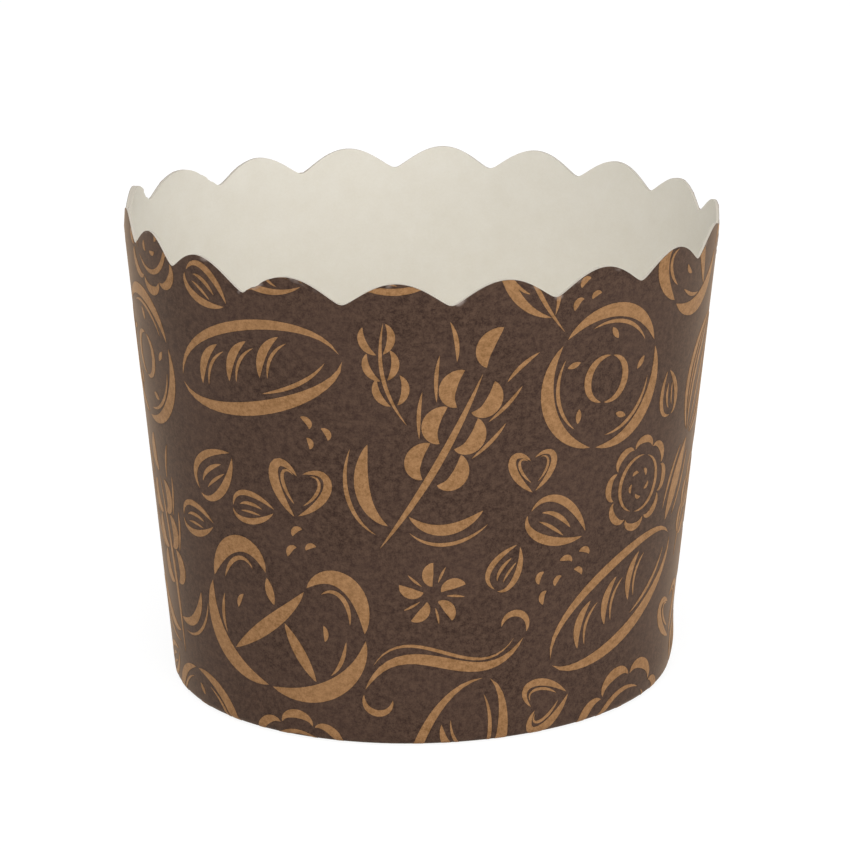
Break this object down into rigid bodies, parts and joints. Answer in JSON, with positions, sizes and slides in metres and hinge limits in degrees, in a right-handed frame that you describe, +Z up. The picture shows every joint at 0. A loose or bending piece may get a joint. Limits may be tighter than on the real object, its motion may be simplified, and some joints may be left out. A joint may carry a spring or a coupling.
{
  "type": "cupcake liner",
  "caption": "Free-standing paper baking cup with sloping sides, a scalloped rim, a crimped hem and a flat base disc, white inside with a tan line print on brown outside.",
  "frame": {"origin": "centre of the cup's footprint, on the plane that it stands on", "axes": "+Z up along the cup's axis, out of the mouth; -Y is the side that the picture shows; the lap seam is on the -X side"},
  "size_m": [0.07, 0.07, 0.056],
  "materials": {
    "white_paper": "uncoated greaseproof baking paper, matt",
    "base_paper": "uncoated greaseproof baking paper, matt",
    "brown_print": "matt brown printing ink on paper",
    "tan_print": "matt tan printing ink on paper"
  },
  "bodies": {
    "root": {"side_wall": "white_paper", "base_disc": "base_paper", "printed_ground": "brown_print", "printed_motifs": "tan_print"}
  },
  "joints": []
}
